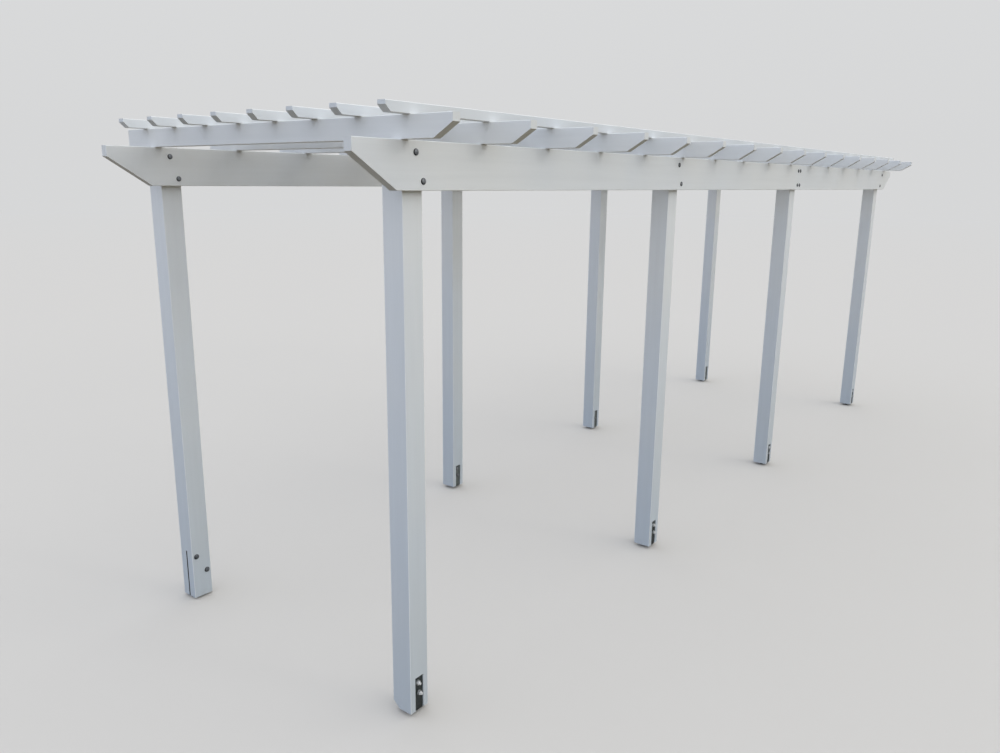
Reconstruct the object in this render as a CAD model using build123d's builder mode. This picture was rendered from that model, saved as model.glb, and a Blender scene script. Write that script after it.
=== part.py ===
from build123d import *
import os

os.makedirs("parts", exist_ok=True)

# Sizes are in millimetres. +X runs along the beams, +Y from the outer row of posts to the inner row,
# +Z up. The origin is on the ground, midway along the beams and midway along the rafters.

# Timber sections, and the radius planed on the long edges of all but the battens
post_size = 112
beam_thickness = 42
beam_depth = 190
rafter_thickness = 42
rafter_depth = 90
batten_width = 42
batten_depth = 42
post_edge_radius = 3
board_edge_radius = 3

# Rafters across both beams
rafter_count = 16
rafter_spacing = 475
rafter_front_overhang = 257
rafter_back_overhang = 201
rafter_nose = 33
rafter_rake_run = 97

# Beams, from the front face of one to the front face of the other, and their raked ends
beam_height = 2345
row_spacing = 1730
beam_end_overhang = 272
beam_nose = 51
beam_rake_run = 225
splice_gap = 1

# Battens along the top of the rafters, the first a little ahead of the front beam
batten_count = 8
batten_spacing = 261
batten_front_overhang = 25
batten_end_overhang = 146
batten_nose = 16
batten_rake_run = 28
batten_arris = 2

# Middle posts, centre to centre from the first post, and the height of the posts' feet
second_post_distance = 2275
front_third_post_distance = 4410
back_third_post_distance = 4365
foot_height = 20
slit_post_foot_height = 12

# Stirrups: two uprights let into the post's faces, a seat under it and a stem to the ground
stirrup_bar_width = 50
stirrup_bar_thickness = 6
stirrup_upright_height = 163
stirrup_heel_radius = 5
stem_diameter = 27
check_depth = 11
check_height = 168
check_clearance = 1
stirrup_bolt_top_margin = 22
stirrup_bolt_spacing = 55
stirrup_bolt_stagger = 9

# Blade stirrup: one blade in a slit through the foot of the post
blade_width = 90
blade_thickness = 8
blade_height = 270
blade_seat_size = 90
blade_seat_thickness = 6
slit_height = 280
slit_clearance = 1
blade_bolt_top_margin = 20
blade_bolt_spacing = 101
blade_bolt_edge_margin = 15

# Back corner cut off the foot of the first front post
corner_cut_width = 34
corner_cut_depth = 40
corner_cut_height = 33

# Bolt holes in the steel, staggered two to a stirrup; the timber is drilled through them on site
bolt_hole_diameter = 13

# Places along the beams
first_rafter_x = -(rafter_count - 1) * rafter_spacing / 2
last_rafter_x = -first_rafter_x
beam_tip_x = last_rafter_x + beam_end_overhang
post_inset = (rafter_thickness + post_size) / 2
first_post_x = first_rafter_x + post_inset
second_post_x = first_post_x + second_post_distance
last_post_x = last_rafter_x - post_inset

# Places across the beams
rafter_length = rafter_front_overhang + row_spacing + beam_thickness + rafter_back_overhang
rafter_front_y = -rafter_length / 2
rafter_back_y = rafter_length / 2
front_beam_y = rafter_front_y + rafter_front_overhang
back_beam_y = front_beam_y + row_spacing
post_offset = beam_thickness + post_size / 2

# Heights
beam_top = beam_height + beam_depth
rafter_top = beam_top + rafter_depth

# Checks and slit at the foot of a post, and the outside of a stirrup that seats in the checks
check_width = stirrup_bar_width + 2 * check_clearance
check_offset = (post_size - check_depth) / 2
slit_width = blade_thickness + 2 * slit_clearance
stirrup_inner_width = post_size - 2 * check_depth
stirrup_outer_width = stirrup_inner_width + 2 * stirrup_bar_thickness

# Bolt holes, as (distance from the middle of the post, height above the ground)
stirrup_bolt_upper_z = foot_height + stirrup_upright_height - stirrup_bolt_top_margin
stirrup_bolts = [
    (-stirrup_bolt_stagger, stirrup_bolt_upper_z),
    (0, stirrup_bolt_upper_z - stirrup_bolt_spacing),
]
blade_bolt_distance = blade_width / 2 - blade_bolt_edge_margin
blade_bolt_upper_z = slit_post_foot_height + blade_height - blade_bolt_top_margin
blade_bolts = [
    (-blade_bolt_distance, blade_bolt_upper_z),
    (blade_bolt_distance, blade_bolt_upper_z - blade_bolt_spacing),
]


# Bolt holes along Y, right through the steel that is being made, from the plane of its front face
def drill_bolt_holes(x, front_y, bolts):
    with Locations(Plane((x, front_y, 0), x_dir=(1, 0, 0), z_dir=(0, -1, 0))):
        with Locations(*bolts):
            Hole(bolt_hole_diameter / 2)


# Post with a check in its front and back faces for the uprights of a stirrup
def make_checked_post(label, x, y, has_cut_corner):
    foot = Plane((x, y, foot_height))
    with BuildPart() as post:
        with BuildSketch(foot):
            RectangleRounded(post_size, post_size, post_edge_radius)
        extrude(amount=beam_top - foot_height)
        with BuildSketch(foot):
            with Locations((0, -check_offset), (0, check_offset)):
                Rectangle(check_width, check_depth)
        extrude(amount=check_height, mode=Mode.SUBTRACT)
        if has_cut_corner:
            corner = Vector(x - post_size / 2, y + post_size / 2, foot_height)
            up_edge = corner + Vector(0, 0, corner_cut_height)
            along_side = corner - Vector(0, corner_cut_depth, 0)
            along_back = corner + Vector(corner_cut_width, 0, 0)
            inward = (along_side - up_edge).cross(along_back - up_edge)
            split(bisect_by=Plane(origin=up_edge, z_dir=inward), keep=Keep.TOP)
    post.part.label = label
    export_step(post.part, f"parts/{label}.step")


# Post with a slit through its foot, from one side face to the other, for a blade
def make_slit_post(label, x, y):
    foot = Plane((x, y, slit_post_foot_height))
    with BuildPart() as post:
        with BuildSketch(foot):
            RectangleRounded(post_size, post_size, post_edge_radius)
        extrude(amount=beam_top - slit_post_foot_height)
        with BuildSketch(foot):
            Rectangle(post_size, slit_width)
        extrude(amount=slit_height, mode=Mode.SUBTRACT)
    post.part.label = label
    export_step(post.part, f"parts/{label}.step")


# Stirrup folded from flat bar, with a round stem from its seat to the ground
def make_stirrup(label, x, y):
    with BuildPart() as stirrup:
        with BuildSketch(Plane((x, y, foot_height), x_dir=(0, 1, 0), z_dir=(1, 0, 0))) as folded_bar:
            with Locations((0, -stirrup_bar_thickness)):
                Rectangle(
                    stirrup_outer_width,
                    stirrup_bar_thickness + stirrup_upright_height,
                    align=(Align.CENTER, Align.MIN),
                )
            fillet(folded_bar.vertices().group_by(Axis.Y)[0], radius=stirrup_heel_radius)
            Rectangle(
                stirrup_inner_width,
                stirrup_upright_height,
                align=(Align.CENTER, Align.MIN),
                mode=Mode.SUBTRACT,
            )
        extrude(amount=stirrup_bar_width / 2, both=True)
        drill_bolt_holes(x, y - stirrup_outer_width / 2, stirrup_bolts)
        with BuildSketch(Plane((x, y, 0))):
            Circle(stem_diameter / 2)
        extrude(amount=foot_height - stirrup_bar_thickness)
    stirrup.part.label = label
    export_step(stirrup.part, f"parts/{label}.step")


# Stirrup with one blade standing on a square seat, and a round stem under it
def make_blade_stirrup(label, x, y):
    foot = Plane((x, y, slit_post_foot_height))
    with BuildPart() as stirrup:
        with BuildSketch(foot):
            Rectangle(blade_width, blade_thickness)
        extrude(amount=blade_height)
        drill_bolt_holes(x, y - blade_thickness / 2, blade_bolts)
        with BuildSketch(foot):
            Rectangle(blade_seat_size, blade_seat_size)
        extrude(amount=-blade_seat_thickness)
        with BuildSketch(Plane((x, y, 0))):
            Circle(stem_diameter / 2)
        extrude(amount=slit_post_foot_height - blade_seat_thickness)
    stirrup.part.label = label
    export_step(stirrup.part, f"parts/{label}.step")


# Beam length from its raked tip to the square end that butts over the third post
def make_beam(label, row_y, tip_x, square_x):
    rake_x = tip_x + beam_rake_run if square_x > tip_x else tip_x - beam_rake_run
    with BuildPart() as beam:
        with BuildSketch(Plane((0, row_y, beam_height), x_dir=(1, 0, 0), z_dir=(0, -1, 0))):
            with BuildLine():
                Polyline(
                    (tip_x, beam_depth),
                    (tip_x, beam_depth - beam_nose),
                    (rake_x, 0),
                    (square_x, 0),
                    (square_x, beam_depth),
                    close=True,
                )
            make_face()
        extrude(amount=-beam_thickness)
        fillet(beam.edges().filter_by(Axis.X), radius=board_edge_radius)
    beam.part.label = label
    export_step(beam.part, f"parts/{label}.step")


# Rafter on edge across both beams, raked at the front and plain at the back
def make_rafter(label, x):
    with BuildPart() as rafter:
        with BuildSketch(Plane((x, 0, beam_top), x_dir=(0, 1, 0), z_dir=(1, 0, 0))):
            with BuildLine():
                Polyline(
                    (rafter_front_y, rafter_depth),
                    (rafter_front_y, rafter_depth - rafter_nose),
                    (rafter_front_y + rafter_rake_run, 0),
                    (rafter_back_y, 0),
                    (rafter_back_y, rafter_depth),
                    close=True,
                )
            make_face()
        extrude(amount=rafter_thickness / 2, both=True)
        fillet(rafter.edges().filter_by(Axis.Y), radius=board_edge_radius)
    rafter.part.label = label
    export_step(rafter.part, f"parts/{label}.step")


# Batten along the top of all the rafters, raked at both ends
def make_batten(label, y):
    tip_x = last_rafter_x + batten_end_overhang
    with BuildPart() as batten:
        with BuildSketch(Plane((0, y, rafter_top), x_dir=(1, 0, 0), z_dir=(0, -1, 0))):
            with BuildLine():
                Polyline(
                    (-tip_x, batten_depth),
                    (-tip_x, batten_depth - batten_nose),
                    (-tip_x + batten_rake_run, 0),
                    (tip_x - batten_rake_run, 0),
                    (tip_x, batten_depth - batten_nose),
                    (tip_x, batten_depth),
                    close=True,
                )
            make_face()
        extrude(amount=batten_width / 2, both=True)
        chamfer(batten.edges().filter_by(Axis.X), length=batten_arris)
    batten.part.label = label
    export_step(batten.part, f"parts/{label}.step")


# Each row: four posts on their stirrups, and a beam in two lengths that butt over the third post
rows = (
    ("front", front_beam_y, front_third_post_distance),
    ("back", back_beam_y, back_third_post_distance),
)
for row, row_y, third_post_distance in rows:
    post_y = row_y + post_offset
    third_post_x = first_post_x + third_post_distance
    post_xs = (first_post_x, second_post_x, third_post_x, last_post_x)
    for number, x in enumerate(post_xs, start=1):
        is_slit_post = row == "back" and number == 1
        has_cut_corner = row == "front" and number == 1
        if is_slit_post:
            make_slit_post(f"{row}_post_{number}", x, post_y)
            make_blade_stirrup(f"{row}_stirrup_{number}", x, post_y)
        else:
            make_checked_post(f"{row}_post_{number}", x, post_y, has_cut_corner)
            make_stirrup(f"{row}_stirrup_{number}", x, post_y)
    make_beam(f"{row}_beam_near", row_y, -beam_tip_x, third_post_x - splice_gap / 2)
    make_beam(f"{row}_beam_far", row_y, beam_tip_x, third_post_x + splice_gap / 2)

for number in range(rafter_count):
    make_rafter(f"rafter_{number + 1:02d}", first_rafter_x + number * rafter_spacing)

for number in range(batten_count):
    batten_y = front_beam_y - batten_front_overhang + number * batten_spacing
    make_batten(f"batten_{number + 1}", batten_y)
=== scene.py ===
import bmesh
import bpy
import math
from mathutils import Matrix, Vector
from operator import mul


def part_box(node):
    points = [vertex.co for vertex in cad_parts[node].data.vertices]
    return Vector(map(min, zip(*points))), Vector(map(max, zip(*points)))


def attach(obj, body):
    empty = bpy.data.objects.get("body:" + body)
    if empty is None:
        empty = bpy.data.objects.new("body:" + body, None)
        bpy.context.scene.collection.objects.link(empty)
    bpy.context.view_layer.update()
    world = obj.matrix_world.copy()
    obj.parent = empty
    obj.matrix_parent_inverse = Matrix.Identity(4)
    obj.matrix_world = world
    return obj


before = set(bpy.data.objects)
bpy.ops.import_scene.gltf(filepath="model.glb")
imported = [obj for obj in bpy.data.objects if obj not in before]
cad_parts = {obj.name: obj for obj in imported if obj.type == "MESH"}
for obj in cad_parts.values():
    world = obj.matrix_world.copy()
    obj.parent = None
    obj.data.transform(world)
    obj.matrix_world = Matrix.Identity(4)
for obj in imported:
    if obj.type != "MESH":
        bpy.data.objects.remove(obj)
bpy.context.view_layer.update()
print("frame loaded:", len(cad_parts), "timbers and stirrups")

rows = ("front", "back")
postNumbers = (1, 2, 3, 4)
splicePost = 3  # the two lengths of a beam meet over it
slitPost = ("back", 1)  # stands on a blade, the others on full stirrups
towardsFront = Vector((0, -1, 0))
towardsBack = Vector((0, 1, 0))


# small helpers for working in object and edit mode
def deselectAll():
    active = bpy.context.view_layer.objects.active
    if active and active.mode != "OBJECT":
        bpy.ops.object.mode_set(mode="OBJECT")
    bpy.ops.object.select_all(action="DESELECT")


# Selects these pieces and nothing else, and makes the first of them active
def selectPieces(*pieces):
    deselectAll()
    for piece in pieces:
        piece.select_set(True)
    bpy.context.view_layer.objects.active = pieces[0]


def deletePieces(*pieces):
    selectPieces(*pieces)
    bpy.ops.object.delete()


def joinPieces(name, pieces):
    selectPieces(*pieces)
    bpy.ops.object.join()
    joined = bpy.context.object
    joined.name = name
    joined.data.name = name
    return joined


def applyModifiers(piece):
    selectPieces(piece)
    for modifier in list(piece.modifiers):
        bpy.ops.object.modifier_apply(modifier=modifier.name)


# Cylinder along Z, with its middle at that height
def addCylinder(sides, radius, depth, middle):
    deselectAll()
    bpy.ops.mesh.primitive_cylinder_add(
        vertices=sides, radius=radius, depth=depth, location=(0, 0, middle)
    )
    cylinder = bpy.context.object
    bpy.ops.object.transform_apply(location=True, rotation=True, scale=True)
    return cylinder


# In edit mode, selects the faces that wanted(face) says yes to
def selectFaces(piece, wanted):
    mesh = bmesh.from_edit_mesh(piece.data)
    bpy.ops.mesh.select_all(action="DESELECT")
    for face in mesh.faces:
        if wanted(face):
            face.select_set(True)
    bmesh.update_edit_mesh(piece.data)


# Says whether a face closes the shape at its upper end (side 1) or lower end (side -1)
def isCap(face, side):
    return face.normal.z * side > 0.9


# Pulls the selected cap along the bolt's axis and scales it, as one ring of a turned shape
def pullRing(distance, scale):
    bpy.ops.mesh.extrude_region_move(TRANSFORM_OT_translate={"value": (0, 0, distance)})
    bpy.ops.transform.resize(value=(scale, scale, 1), center_override=(0, 0, 0))


# node helpers for the finishes
def startMaterial(name):
    material = bpy.data.materials.new(name)
    material.use_nodes = True
    material.node_tree.nodes.clear()
    return material, material.node_tree


# Starts a finish: its shader, and the coordinates on the piece that its patterns follow
def startFinish(name):
    material, tree = startMaterial(name)
    output = tree.nodes.new("ShaderNodeOutputMaterial")
    shader = tree.nodes.new("ShaderNodeBsdfPrincipled")
    tree.links.new(shader.outputs["BSDF"], output.inputs["Surface"])
    coords = tree.nodes.new("ShaderNodeTexCoord").outputs["Object"]
    return material, tree, shader, coords


# The noise is given as its scale, detail and roughness
def addNoise(tree, vector, noise, times=1.0):
    scale, detail, roughness = noise
    texture = tree.nodes.new("ShaderNodeTexNoise")
    texture.inputs["Scale"].default_value = scale * times
    texture.inputs["Detail"].default_value = detail
    texture.inputs["Roughness"].default_value = roughness
    tree.links.new(vector, texture.inputs["Vector"])
    return texture.outputs["Fac"]


# The span is given as the values from which and the values to which it leads
def addRange(tree, value, span):
    remap = tree.nodes.new("ShaderNodeMapRange")
    for socket, number in zip(("From Min", "From Max", "To Min", "To Max"), span):
        remap.inputs[socket].default_value = number
    tree.links.new(value, remap.inputs["Value"])
    return remap.outputs["Result"]


def addMath(tree, operation, *values):
    step = tree.nodes.new("ShaderNodeMath")
    step.operation = operation
    for socket, value in zip(step.inputs, values):
        if isinstance(value, (int, float)):
            socket.default_value = value
        else:
            tree.links.new(value, socket)
    return step.outputs["Value"]


def mixColour(tree, factor, first, second, blend="MIX"):
    mix = tree.nodes.new("ShaderNodeMix")
    mix.data_type = "RGBA"
    mix.blend_type = blend
    sockets = [mix.inputs[place] for place in (0, 6, 7)]  # the factor and the two colours
    for socket, value in zip(sockets, (factor, first, second)):
        if isinstance(value, (int, float, tuple)):
            socket.default_value = value
        else:
            tree.links.new(value, socket)
    return mix.outputs[2]  # the colour


def multiplyColour(tree, first, second):
    return mixColour(tree, 1.0, first, second, "MULTIPLY")


def mixShader(tree, factor, first, second):
    mix = tree.nodes.new("ShaderNodeMixShader")
    for socket, value in zip(mix.inputs, (factor, first, second)):
        tree.links.new(value, socket)
    return mix.outputs["Shader"]


# The bump is given as its distance and strength, and lies over the one below
def addBump(tree, height, bump, below=None):
    distance, strength = bump
    relief = tree.nodes.new("ShaderNodeBump")
    relief.inputs["Distance"].default_value = distance
    relief.inputs["Strength"].default_value = strength
    tree.links.new(height, relief.inputs["Height"])
    if below is not None:
        tree.links.new(below, relief.inputs["Normal"])
    return relief.outputs["Normal"]


# The X, Y and Z of a vector
def splitVector(tree, vector):
    split = tree.nodes.new("ShaderNodeSeparateXYZ")
    tree.links.new(vector, split.inputs["Vector"])
    return split.outputs


# Is 1 for the rays that show something, and 0 for those that only light it
def addSeenRays(tree):
    rays = tree.nodes.new("ShaderNodeLightPath").outputs
    seen = addMath(tree, "MAXIMUM", rays["Is Camera Ray"], rays["Is Glossy Ray"])
    return addMath(tree, "MAXIMUM", seen, rays["Is Transmission Ray"])


# white satin paint over primed pine
paintLook = {
    "coolWhite": (0.800, 0.818, 0.835, 1),
    "warmWhite": (0.838, 0.835, 0.818, 1),
    "plainTint": (1, 1, 1, 1),
    "battenShadeTint": (0.935, 0.955, 0.985, 1),  # painted shade: the battens are made a little darker and bluer than the other timbers
    "driftNoise": (1.4, 2.0, 0.55),
    "driftSpan": (0.35, 0.65, 0.15, 0.85),
    "grainStretch": 0.035,  # how little the grain changes along the timber
    "streakNoise": (38.0, 4.0, 0.6),
    "streakSpan": (0.3, 0.7, 0.975, 1.01),
    "endGrain": (0.95, 0.945, 0.93, 1),
    "endSpan": (0.3, 0.5, 0, 1),  # from how squarely a face lies across the grain
    "ringNoise": (160.0, 3.0, 0.55),
    "topDust": (0.86, 0.84, 0.79, 1),
    "topSpan": (0.75, 0.98, 0, 1),  # from how squarely a face looks up
    "dustNoise": (9.0, 5.0, 0.65),
    "dustSpan": (0.4, 0.75, 0.1, 0.8),
    "footSplash": (0.42, 0.40, 0.33, 1),
    "splashSpan": (0.0, 0.11, 1, 0),  # from the height
    "splashFade": 1.6,
    "speckNoise": (210.0, 4.0, 0.7),
    "speckSpan": (0.60, 0.68, 0, 1),
    "speckShare": 0.55,
    "hazeNoise": (24.0, 3.0, 0.55),
    "hazeSpan": (0.4, 0.8, 0.0, 0.25),
    # painted shade: the posts grow darker and bluer towards the ground, up to about 2.1 m
    "footShadeTint": (0.69, 0.74, 0.795, 1),
    "footShadeSpan": (0.15, 2.1, 1, 0),  # from the height
    # painted highlight along the arrises
    "arrisHighlight": (0.95, 0.95, 0.94, 1),
    "arrisHighlightSpan": (0.97, 0.86, 0, 0.85),  # from how squarely a face lies to the nearest axis
    # painted shade inside the blade's slit
    "slitShade": (0.10, 0.10, 0.095, 1),
    "slitHalfWidth": 0.0054,
    "slitOverBlade": 0.011,
    "specular": 0.38,
    "sheenNoise": (11.0, 3.0, 0.55),
    "sheenSpan": (0.3, 0.7, 0.43, 0.55),
    "endDullness": 0.12,
    "grainNoise": (90.0, 3.0, 0.55),
    "grainBump": (0.0006, 0.35),
    "stippleNoise": (420.0, 2.0, 0.55),
    "stippleBump": (0.0004, 0.2),
}


# One paint for each way the grain runs, so that brush marks and grain follow the timber
def makePaint(name, grainAxis, tint=paintLook["plainTint"], hasFootDirtAndShade=False, blade=None):
    look = paintLook
    material, tree, shader, coords = startFinish(name)
    facing = splitVector(tree, tree.nodes.new("ShaderNodeNewGeometry").outputs["Normal"])
    along = tree.nodes.new("ShaderNodeMapping")
    along.inputs["Scale"].default_value[grainAxis] = look["grainStretch"]
    tree.links.new(coords, along.inputs["Vector"])
    grain = along.outputs["Vector"]

    # slow warm and cool drift, and brush streaks along the timber
    coolWhite, warmWhite = [tuple(map(mul, look[white], tint)) for white in ("coolWhite", "warmWhite")]
    drift = addRange(tree, addNoise(tree, coords, look["driftNoise"]), look["driftSpan"])
    colour = mixColour(tree, drift, coolWhite, warmWhite)
    streaks = addRange(tree, addNoise(tree, grain, look["streakNoise"]), look["streakSpan"])
    colour = multiplyColour(tree, colour, streaks)

    # end grain drinks more paint and dries a little duller
    onEnd = addRange(tree, addMath(tree, "ABSOLUTE", facing[grainAxis]), look["endSpan"])
    rings = addNoise(tree, coords, look["ringNoise"])
    endTone = mixColour(tree, rings, look["endGrain"], look["plainTint"])
    colour = mixColour(tree, onEnd, colour, multiplyColour(tree, colour, endTone))

    # dust settles on faces that look up
    dustPatches = addRange(tree, addNoise(tree, coords, look["dustNoise"]), look["dustSpan"])
    dust = addMath(tree, "MULTIPLY", addRange(tree, facing["Z"], look["topSpan"]), dustPatches)
    colour = mixColour(tree, dust, colour, multiplyColour(tree, colour, look["topDust"]))
    # soil specks at the foot, and painted shade low on the posts
    if hasFootDirtAndShade:
        colour = addFootDirtAndShade(tree, coords, colour)

    # the planed arris is painted brighter: a painted highlight along the edges
    squareness = addMath(tree, "ABSOLUTE", facing["X"])
    for letter in "YZ":
        squareness = addMath(tree, "MAXIMUM", squareness, addMath(tree, "ABSOLUTE", facing[letter]))
    arrisHighlight = addRange(tree, squareness, look["arrisHighlightSpan"])
    arrisHighlight = addMath(tree, "MULTIPLY", arrisHighlight, addMath(tree, "SUBTRACT", 1.0, onEnd))
    colour = mixColour(tree, arrisHighlight, colour, look["arrisHighlight"])
    # painted shade in the blade's slit
    if blade:
        colour = addSlitShade(tree, coords, colour, blade)
    tree.links.new(colour, shader.inputs["Base Color"])

    # satin sheen, duller on the ends
    shader.inputs["Specular IOR Level"].default_value = look["specular"]
    sheen = addRange(tree, addNoise(tree, grain, look["sheenNoise"]), look["sheenSpan"])
    roughness = addMath(tree, "MULTIPLY_ADD", onEnd, look["endDullness"], sheen)
    tree.links.new(roughness, shader.inputs["Roughness"])

    # raised grain, and the fine stipple of the coat
    grainBump = addBump(tree, addNoise(tree, grain, look["grainNoise"]), look["grainBump"])
    stipple = addNoise(tree, coords, look["stippleNoise"])
    tree.links.new(addBump(tree, stipple, look["stippleBump"], grainBump), shader.inputs["Normal"])
    return material


# Soil that rain has splashed on the foot of a post, and painted shade that makes the post darker and bluer
# towards the ground
def addFootDirtAndShade(tree, coords, colour):
    look = paintLook
    height = splitVector(tree, coords)["Z"]
    low = addRange(tree, height, look["splashSpan"])
    specks = addRange(tree, addNoise(tree, coords, look["speckNoise"]), look["speckSpan"])
    haze = addRange(tree, addNoise(tree, coords, look["hazeNoise"]), look["hazeSpan"])
    soil = addMath(tree, "MAXIMUM", addMath(tree, "MULTIPLY", specks, look["speckShare"]), haze)
    soil = addMath(tree, "MULTIPLY", soil, addMath(tree, "POWER", low, look["splashFade"]))
    colour = mixColour(tree, soil, colour, look["footSplash"])
    # painted shade, darker and bluer towards the bottom
    footShadeAmount = addRange(tree, height, look["footShadeSpan"])
    return mixColour(tree, footShadeAmount, colour, multiplyColour(tree, colour, look["footShadeTint"]))


# Paints the saw cut for the blade near black: painted shade in the narrow slit, darker than its bare
# timber
def addSlitShade(tree, coords, colour, blade):
    look = paintLook
    low, high = blade
    place = splitVector(tree, coords)
    fromBlade = addMath(tree, "SUBTRACT", place["Y"], (low.y + high.y) / 2)
    distance = addMath(tree, "ABSOLUTE", fromBlade)
    inWidth = addMath(tree, "LESS_THAN", distance, look["slitHalfWidth"])
    inHeight = addMath(tree, "LESS_THAN", place["Z"], high.z + look["slitOverBlade"])
    inSlit = addMath(tree, "MULTIPLY", inWidth, inHeight)
    return mixColour(tree, inSlit, colour, look["slitShade"])


# hot-dip galvanised steel, dulled by the weather; the noises' scales are shares of the spangle's
zincLook = {
    "cloudNoise": (0.35, 4.0, 0.6),
    "cloudSpan": (0.3, 0.7),
    "cloudShare": 0.65,
    "flakeShare": 0.35,
    "bloom": (0.46, 0.47, 0.46, 1),
    "bloomNoise": (1.8, 5.0, 0.7),
    "bloomSpan": (0.55, 0.75),
    # painted shade and dark reflection round bolt heads
    "rimShade": (0.018, 0.020, 0.022, 1),
    "rimShadeSpan": (0.62, 0.99),
    "rimShadeLean": 0.35,  # how much more of it lies on the lower side
    "pittingNoise": (6.0, 3.0, 0.55),
    "pittingBump": (0.0003, 0.35),
    # painted shade: the front row's stirrups are near black, far darker than the back row's, though the
    # zinc is the same
    "frontStirrup": {
        "dark": (0.020, 0.025, 0.025, 1),
        "pale": (0.062, 0.071, 0.069, 1),
        "metallic": 0.8,
        "roughness": (0.38, 0.58),
        "spangle": 90.0,
        "bloomAmount": 0.1,
    },
    "backStirrup": {
        "dark": (0.066, 0.078, 0.074, 1),
        "pale": (0.190, 0.208, 0.200, 1),
        "metallic": 0.8,
        "roughness": (0.38, 0.58),
        "spangle": 90.0,
        "bloomAmount": 0.25,
    },
    "bolt": {
        "dark": (0.100, 0.105, 0.112, 1),
        "pale": (0.295, 0.303, 0.316, 1),
        "metallic": 0.85,
        "roughness": (0.30, 0.44),
        "spangle": 260.0,
        "bloomAmount": 0.15,
        "rimShadeStrength": 0.95,
    },
    "shadedFootBolt": {  # painted darker, as painted shade and dark reflection, at the foot of the slit post
        "dark": (0.050, 0.056, 0.064, 1),
        "pale": (0.170, 0.182, 0.198, 1),
        "metallic": 0.85,
        "roughness": (0.22, 0.36),
        "spangle": 260.0,
        "bloomAmount": 0.15,
        "rimShadeStrength": 0.95,
    },
    "washer": {
        "dark": (0.070, 0.080, 0.078, 1),
        "pale": (0.190, 0.205, 0.200, 1),
        "metallic": 0.7,
        "roughness": (0.38, 0.56),
        "spangle": 260.0,
        "bloomAmount": 0.1,
    },
    # painted highlight: the nuts are near white, brighter than zinc, as if lit by the sun
    "nut": {
        "dark": (0.560, 0.572, 0.578, 1),
        "pale": (0.870, 0.880, 0.886, 1),
        "metallic": 0.65,
        "roughness": (0.26, 0.40),
        "spangle": 260.0,
        "bloomAmount": 0.1,
    },
}


def makeZinc(kind):
    look = zincLook
    own = zincLook[kind]
    material, tree, shader, coords = startFinish(kind + "Zinc")

    # flakes of the spangle, under slow clouds
    spangle = tree.nodes.new("ShaderNodeTexVoronoi")
    spangle.inputs["Scale"].default_value = own["spangle"]
    tree.links.new(coords, spangle.inputs["Vector"])
    flake = tree.nodes.new("ShaderNodeSeparateColor")
    tree.links.new(spangle.outputs["Color"], flake.inputs["Color"])
    cloud = addNoise(tree, coords, look["cloudNoise"], own["spangle"])
    clouds = addRange(tree, cloud, (*look["cloudSpan"], 0, look["cloudShare"]))
    tone = addMath(tree, "MULTIPLY_ADD", flake.outputs["Red"], look["flakeShare"], clouds)
    colour = mixColour(tree, tone, own["dark"], own["pale"])

    # chalky bloom in patches
    bloomPatches = addNoise(tree, coords, look["bloomNoise"], own["spangle"])
    bloom = addRange(tree, bloomPatches, (*look["bloomSpan"], 0, own["bloomAmount"]))
    colour = mixColour(tree, bloom, colour, look["bloom"])

    # painted shade and painted dark reflection round the rim of a bolt's head, where it doesn't face along
    # Y, and most of all below
    if "rimShadeStrength" in own:
        facing = splitVector(tree, tree.nodes.new("ShaderNodeNewGeometry").outputs["Normal"])
        lean = addMath(tree, "MULTIPLY", facing["Z"], look["rimShadeLean"])
        headFacing = addMath(tree, "ADD", addMath(tree, "ABSOLUTE", facing["Y"]), lean)
        rimShade = addRange(tree, headFacing, (*look["rimShadeSpan"], own["rimShadeStrength"], 0))
        colour = mixColour(tree, rimShade, colour, look["rimShade"])
    tree.links.new(colour, shader.inputs["Base Color"])
    shader.inputs["Metallic"].default_value = own["metallic"]
    roughness = addRange(tree, cloud, (*look["cloudSpan"], *own["roughness"]))
    tree.links.new(roughness, shader.inputs["Roughness"])
    pitting = addNoise(tree, coords, look["pittingNoise"], own["spangle"])
    tree.links.new(addBump(tree, pitting, look["pittingBump"]), shader.inputs["Normal"])
    return material


postPaint = makePaint("paintAlongPosts", 2, hasFootDirtAndShade=True)
slitPostPaint = makePaint("paintOnSlitPost", 2, hasFootDirtAndShade=True, blade=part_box("back_stirrup_1"))
beamPaint = makePaint("paintAlongBeams", 0)
rafterPaint = makePaint("paintAlongRafters", 1)
# the battens' paint carries a painted shade, a little darker and bluer
battenPaint = makePaint("paintAlongBattens", 0, tint=paintLook["battenShadeTint"])
frontStirrupZinc = makeZinc("frontStirrup")
backStirrupZinc = makeZinc("backStirrup")
boltZinc = makeZinc("bolt")
shadedFootBoltZinc = makeZinc("shadedFootBolt")
washerZinc = makeZinc("washer")
litNutZinc = makeZinc("nut")


# Gives every timber and stirrup the finish of its kind
def finishNodes():
    for name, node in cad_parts.items():
        if "stirrup" in name:
            # the front row's stirrups carry painted shade
            finish = frontStirrupZinc if name.startswith("front") else backStirrupZinc
        elif name == "back_post_1":
            finish = slitPostPaint
        elif "post" in name:
            finish = postPaint
        elif "rafter" in name:
            finish = rafterPaint
        elif "batten" in name:
            finish = battenPaint
        else:
            finish = beamPaint
        if not node.data.materials:
            node.data.materials.append(finish)
        for slotNumber in range(len(node.data.materials)):
            node.data.materials[slotNumber] = finish


finishNodes()
print("finishes made and given to the timbers and stirrups")


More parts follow.
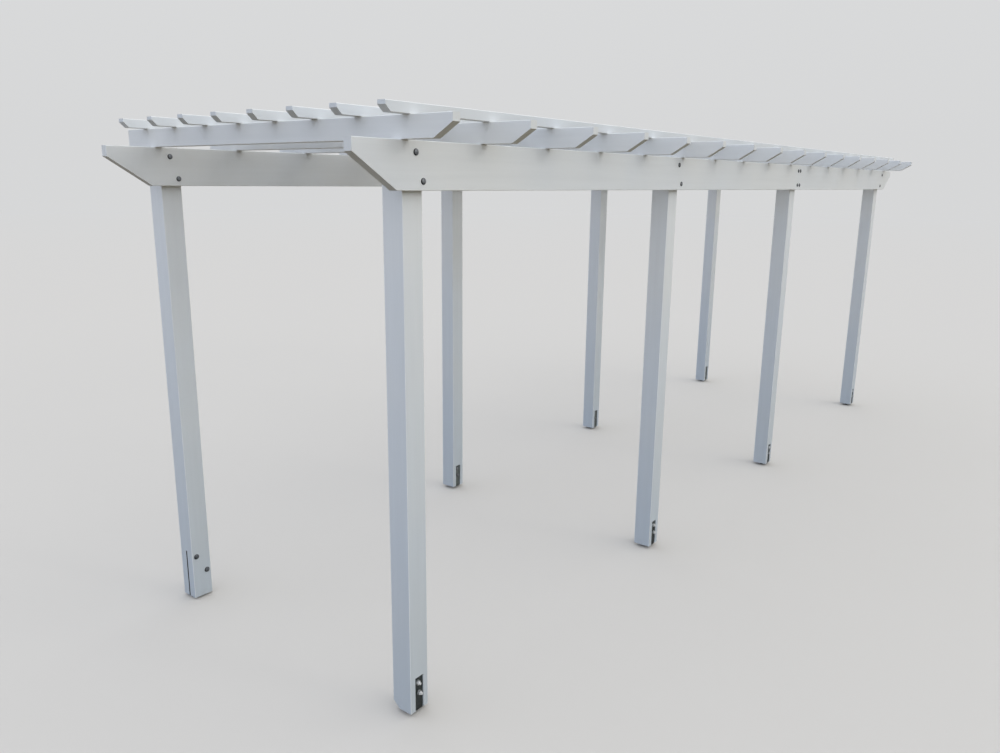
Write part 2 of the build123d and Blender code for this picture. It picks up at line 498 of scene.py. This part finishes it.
# cup-head bolts, M12, with a washer and a nut
boltSize = {
    "headRadius": 0.0135,
    "bladeHeadRadius": 0.0156,
    "rimHeight": 0.0012,
    "domeHeight": 0.0058,
    "domeRings": 5,
    "crownFlat": 0.35,  # of a ring, left flat on top of the dome
    "sides": 24,
    "shankRadius": 0.006,
    "threadPitch": 0.00175,
    "threadTurns": 5,  # turns that stand out past the nut
    "threadDepth": 0.12,  # of the shank's radius
    "tipTaper": 0.82,
    "washerRadius": 0.014,
    "washerThickness": 0.0025,
    "washerBore": 1.08,  # times the shank
    "washerBevel": 0.18,  # of its thickness
    "bevelAngle": 60,
    "nutSides": 6,
    "nutAcrossFlats": 0.019,
    "nutHeight": 0.0105,
    "nutFaceShare": 0.97,  # of the width across flats, left flat when the corners are turned off
    "nutChamfer": 30,
    "turningSides": 48,  # of the cylinder that turns the corners off
    "nutBore": 1.03,  # times the shank
    "boreLength": 1.4,  # times the nut's height, to come out at both faces
    "smoothAngle": 32,
}


# Bolt along Z: the underside of its head lies at the origin, the dome points up
def makeBolt(gripLength, headRadius, headFinish):
    size = boltSize
    nutTop = -(gripLength + size["washerThickness"] + size["nutHeight"])
    bolt = addCylinder(size["sides"], headRadius, size["rimHeight"], size["rimHeight"] / 2)
    bpy.ops.object.mode_set(mode="EDIT")

    # domed head, ring by ring
    selectFaces(bolt, lambda face: isCap(face, 1))
    radius = 1.0
    height = 0.0
    for ring in range(1, size["domeRings"] + 1):
        angle = math.pi / 2 * ring / (size["domeRings"] + size["crownFlat"])
        pullRing(size["domeHeight"] * math.sin(angle) - height, math.cos(angle) / radius)
        radius = math.cos(angle)
        height = size["domeHeight"] * math.sin(angle)

    # shank, then the thread that stands out past the nut, root and crest in turn
    selectFaces(bolt, lambda face: isCap(face, -1))
    bpy.ops.mesh.inset(thickness=headRadius - size["shankRadius"])
    pullRing(nutTop, 1.0)
    root = 1.0 - size["threadDepth"]
    for turn in range(size["threadTurns"]):
        pullRing(-size["threadPitch"] / 2, root)
        pullRing(-size["threadPitch"] / 2, 1.0 / root)
    pullRing(-size["threadPitch"] / 3, size["tipTaper"])

    # that end of the thread gets the nut's near-white finish, the same painted highlight
    for finish in (headFinish, litNutZinc):
        bolt.data.materials.append(finish)
    selectFaces(bolt, lambda face: face.calc_center_median().z < nutTop)
    bolt.active_material_index = 1
    bpy.ops.object.material_slot_assign()
    bpy.ops.object.mode_set(mode="OBJECT")
    return bolt


# Round washer with its hole, bevelled at the rim
def makeWasher(gripLength):
    size = boltSize
    thickness = size["washerThickness"]
    washer = addCylinder(size["sides"], size["washerRadius"], thickness, -(gripLength + thickness / 2))
    bpy.ops.object.mode_set(mode="EDIT")
    selectFaces(washer, lambda face: isCap(face, 1) or isCap(face, -1))
    bpy.ops.mesh.inset(thickness=size["washerRadius"] - size["shankRadius"] * size["washerBore"])
    bpy.ops.mesh.bridge_edge_loops()
    bpy.ops.object.mode_set(mode="OBJECT")
    bevel = washer.modifiers.new("rimBevel", "BEVEL")
    bevel.width = thickness * size["washerBevel"]
    bevel.segments = 1
    bevel.angle_limit = math.radians(size["bevelAngle"])
    applyModifiers(washer)
    washer.data.materials.append(washerZinc)
    return washer


# Hexagon nut whose corners are turned off at both faces
def makeNut(gripLength):
    size = boltSize
    nutHeight = size["nutHeight"]
    cornerRadius = size["nutAcrossFlats"] / math.sqrt(3)
    faceRadius = size["nutAcrossFlats"] / 2 * size["nutFaceShare"]
    chamferHeight = (cornerRadius - faceRadius) * math.tan(math.radians(size["nutChamfer"]))
    middle = -(gripLength + size["washerThickness"] + nutHeight / 2)
    nut = addCylinder(size["nutSides"], cornerRadius, nutHeight, middle)

    turned = addCylinder(size["turningSides"], cornerRadius, nutHeight - 2 * chamferHeight, middle)
    bpy.ops.object.mode_set(mode="EDIT")
    for side in (-1, 1):
        selectFaces(turned, lambda face: isCap(face, side))
        pullRing(side * chamferHeight, faceRadius / cornerRadius)
    bpy.ops.object.mode_set(mode="OBJECT")
    trim = nut.modifiers.new("turnedCorners", "BOOLEAN")
    trim.operation = "INTERSECT"
    trim.object = turned

    boreRadius = size["shankRadius"] * size["nutBore"]
    bore = addCylinder(size["sides"], boreRadius, nutHeight * size["boreLength"], middle)
    drill = nut.modifiers.new("bore", "BOOLEAN")
    drill.operation = "DIFFERENCE"
    drill.object = bore
    applyModifiers(nut)
    deletePieces(turned, bore)
    nut.data.materials.append(litNutZinc)
    return nut


# Bolt, washer and nut as one piece, to copy from
def makeBoltSet(name, gripLength, headRadius, headFinish):
    bolt = makeBolt(gripLength, headRadius, headFinish)
    boltSet = joinPieces(name, (bolt, makeWasher(gripLength), makeNut(gripLength)))
    bpy.ops.object.shade_smooth_by_angle(angle=math.radians(boltSize["smoothAngle"]))
    return boltSet


# Where the bolts stand: heights over the beam's underside or the post's foot, and how far to
# each side of the post's middle
boltPlan = {
    "upperHeight": 0.146,
    "lowerHeight": 0.036,
    "stagger": 0.020,
    "spliceStagger": 0.024,
    "stirrupUpperHeight": 0.141,
    "stirrupLowerHeight": 0.086,
    "stirrupUpperOffset": -0.009,
    "stirrupLowerOffset": 0.0,
    "bladeUpperHeight": 0.250,
    "bladeLowerHeight": 0.149,
    "bladeStagger": 0.030,
    # degrees that each is turned about its own axis, so that no two look alike
    "firstSpin": 17,
    "nextSpin": 23,
    "nameSpin": 7,
}


# Copies a bolt set to each place, as one joined piece that is fixed to the pergola
def placeBolts(name, boltSet, places, headDirection):
    plan = boltPlan
    turn = Vector((0, 0, 1)).rotation_difference(headDirection).to_matrix().to_4x4()
    copies = []
    for number, place in enumerate(places):
        copy = boltSet.copy()
        copy.data = boltSet.data.copy()
        bpy.context.scene.collection.objects.link(copy)
        spin = math.radians(plan["firstSpin"] + plan["nextSpin"] * number + plan["nameSpin"] * len(name))
        copy.matrix_world = Matrix.Translation(place) @ turn @ Matrix.Rotation(spin, 4, "Z")
        copies.append(copy)
    selectPieces(*copies)
    bpy.ops.object.transform_apply(location=True, rotation=True, scale=True)
    joined = joinPieces(name, copies)
    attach(joined, "root")


# Two staggered bolts from a beam through each post, and four where the lengths of the beam meet
def boltBeams():
    plan = boltPlan
    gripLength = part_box("front_post_2")[1].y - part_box("front_beam_near")[0].y
    boltSet = makeBoltSet("beamBolt", gripLength, boltSize["headRadius"], boltZinc)
    for row in rows:
        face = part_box(row + "_beam_near")[0]
        for number in postNumbers:
            low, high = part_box(f"{row}_post_{number}")
            middle = (low.x + high.x) / 2
            if number == splicePost:
                near, far = -plan["spliceStagger"], plan["spliceStagger"]
                offsets = [(near, "upper"), (near, "lower"), (far, "upper"), (far, "lower")]
            else:
                lean = plan["stagger"] if number == postNumbers[-1] else -plan["stagger"]
                offsets = [(lean, "upper"), (-lean, "lower")]
            places = [
                Vector((middle + offset, face.y, face.z + plan[height + "Height"]))
                for offset, height in offsets
            ]
            placeBolts(f"{row}_post_{number}_beam_bolts", boltSet, places, towardsFront)
    return boltSet


# Two bolts through the post and both uprights of each stirrup, their heads facing the other row
def boltStirrups():
    plan = boltPlan
    low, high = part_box("front_stirrup_2")
    boltSet = makeBoltSet("stirrupBolt", high.y - low.y, boltSize["headRadius"], boltZinc)
    for row in rows:
        for number in postNumbers:
            if (row, number) == slitPost:
                continue
            stirrupLow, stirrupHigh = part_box(f"{row}_stirrup_{number}")
            postLow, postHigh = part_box(f"{row}_post_{number}")
            middle = (postLow.x + postHigh.x) / 2
            foot = postLow.z
            headFace, headDirection = stirrupLow.y, towardsFront
            if row == "front":
                headFace, headDirection = stirrupHigh.y, towardsBack
            places = [
                Vector((middle + plan["stirrupUpperOffset"], headFace, foot + plan["stirrupUpperHeight"])),
                Vector((middle + plan["stirrupLowerOffset"], headFace, foot + plan["stirrupLowerHeight"])),
            ]
            placeBolts(f"{row}_stirrup_{number}_bolts", boltSet, places, headDirection)
    return boltSet


# Two larger bolts through the slit post and its blade
def boltBlade():
    plan = boltPlan
    low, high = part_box("back_post_1")
    boltSet = makeBoltSet("bladeBolt", high.y - low.y, boltSize["bladeHeadRadius"], shadedFootBoltZinc)
    middle = (low.x + high.x) / 2
    places = [
        Vector((middle - plan["bladeStagger"], low.y, low.z + plan["bladeUpperHeight"])),
        Vector((middle + plan["bladeStagger"], low.y, low.z + plan["bladeLowerHeight"])),
    ]
    placeBolts("back_stirrup_1_bolts", boltSet, places, towardsFront)
    return boltSet


patterns = [boltBeams(), boltStirrups(), boltBlade()]
deletePieces(*patterns)
print("bolts, washers and nuts in place")


# floor, sky and lamps
studio = {
    "floorRadius": 300.0,
    "floorSides": 128,
    "floorColour": (0.650, 0.614, 0.570, 1),
    "groundBounce": (0.112, 0.086, 0.042, 1),
    "farSpan": (14.0, 60.0, 0, 1),  # from the distance, to how far the floor turns into the horizon
    "horizonColour": (0.675, 0.680, 0.685, 1),
    "zenithColour": (0.775, 0.785, 0.795, 1),
    "climbSpan": (0.05, 0.9, 0, 1),
    "shadedSky": (0.930, 1.060, 1.310, 1),  # lights the backs and the near ends
    "brightSky": (1.150, 1.200, 1.220, 1),  # lights the fronts and the far ends
    "sideSpan": (-1, 1, 0, 1),
    "overheadSky": (0.905, 0.920, 0.930, 1),  # kept neutral, so that the tops stay white
    "overheadSpan": (0.5, 1.0, 0, 1),
    "lampHeight": 6,
}


# Pale floor where it is seen; the light that it throws up on the timber is dim and warm
def makeFloor():
    look = studio
    deselectAll()
    bpy.ops.mesh.primitive_circle_add(
        vertices=look["floorSides"], radius=look["floorRadius"], fill_type="NGON"
    )
    floor = bpy.context.object
    floor.name = "floor"
    material, tree = startMaterial("paleFloor")
    output = tree.nodes.new("ShaderNodeOutputMaterial")
    seen = addSeenRays(tree)
    pale = tree.nodes.new("ShaderNodeBsdfDiffuse")
    pale.inputs["Color"].default_value = look["floorColour"]
    bounce = tree.nodes.new("ShaderNodeBsdfDiffuse")
    bounce.inputs["Color"].default_value = look["groundBounce"]
    horizon = tree.nodes.new("ShaderNodeEmission")
    horizon.inputs["Color"].default_value = look["horizonColour"]
    distance = tree.nodes.new("ShaderNodeVectorMath")
    distance.operation = "LENGTH"
    tree.links.new(tree.nodes.new("ShaderNodeTexCoord").outputs["Object"], distance.inputs[0])
    far = addRange(tree, distance.outputs["Value"], look["farSpan"])
    paleFloor = mixShader(tree, far, pale.outputs["BSDF"], horizon.outputs["Emission"])
    surface = mixShader(tree, seen, bounce.outputs["BSDF"], paleFloor)
    tree.links.new(surface, output.inputs["Surface"])
    floor.data.materials.append(material)


# Even sky: plain and pale where it is seen; its light is cooler on one side, brighter on the other
def makeSky():
    look = studio
    world = bpy.data.worlds.new("overcastSky")
    world.use_nodes = True
    tree = world.node_tree
    tree.nodes.clear()
    output = tree.nodes.new("ShaderNodeOutputWorld")
    background = tree.nodes.new("ShaderNodeBackground")
    direction = splitVector(tree, tree.nodes.new("ShaderNodeTexCoord").outputs["Generated"])
    climb = addRange(tree, direction["Z"], look["climbSpan"])
    plain = mixColour(tree, climb, look["horizonColour"], look["zenithColour"])
    side = addRange(tree, addMath(tree, "SUBTRACT", direction["X"], direction["Y"]), look["sideSpan"])
    light = mixColour(tree, side, look["shadedSky"], look["brightSky"])
    overhead = addRange(tree, direction["Z"], look["overheadSpan"])
    light = mixColour(tree, overhead, light, look["overheadSky"])
    tree.links.new(mixColour(tree, addSeenRays(tree), light, plain), background.inputs["Color"])
    tree.links.new(background.outputs["Background"], output.inputs["Surface"])
    bpy.context.scene.world = world


# two soft lamps that shine on the fronts of the posts and beams
lamps = {
    "brightCloud": {
        "energy": 0.20,
        "colour": (1.0, 0.97, 0.93),
        "direction": (-0.35, 0.80, -0.80),
        "spread": 60,  # degrees
    },
    "cloudEdge": {
        "energy": 0.16,
        "colour": (1.0, 0.98, 0.95),
        "direction": (-0.29, 0.88, -0.32),
        "spread": 12,
    },
}


def makeLamps():
    for name, look in lamps.items():
        deselectAll()
        bpy.ops.object.light_add(type="SUN", location=(0, 0, studio["lampHeight"]))
        lamp = bpy.context.object
        lamp.name = name
        lamp.data.energy = look["energy"]
        lamp.data.color = look["colour"]
        lamp.data.angle = math.radians(look["spread"])
        lamp.rotation_euler = Vector(look["direction"]).to_track_quat("-Z", "Y").to_euler()


makeFloor()
makeSky()
makeLamps()
print("floor, sky and lamps made")


# camera at the height and place of the photograph
cameraPlace = {
    "location": (-5.8849, -3.1259, 2.3816),
    "yaw": 52.188,  # from +Y towards +X
    "pitch": 13.361,  # downwards
    "roll": 0.587,
    "lens": 29.482,
    "sensorWidth": 36.0,
    "nearest": 0.05,
    "farthest": 1000,
}


def makeCamera():
    place = cameraPlace
    yaw, pitch, roll = [math.radians(place[angle]) for angle in ("yaw", "pitch", "roll")]
    forward = Vector((math.sin(yaw) * math.cos(pitch), math.cos(yaw) * math.cos(pitch), -math.sin(pitch)))
    level = Vector((math.cos(yaw), -math.sin(yaw), 0))
    upright = level.cross(forward)
    right = level * math.cos(roll) + upright * math.sin(roll)
    up = upright * math.cos(roll) - level * math.sin(roll)
    data = bpy.data.cameras.new("photoCamera")
    data.sensor_width = place["sensorWidth"]
    data.lens = place["lens"]
    data.clip_start = place["nearest"]
    data.clip_end = place["farthest"]
    camera = bpy.data.objects.new("photoCamera", data)
    bpy.context.scene.collection.objects.link(camera)
    turn = Matrix((right, up, -forward)).transposed().to_4x4()
    camera.matrix_world = Matrix.Translation(place["location"]) @ turn
    bpy.context.scene.camera = camera


makeCamera()
bpy.context.scene.view_settings.view_transform = "Standard"
print("camera set")
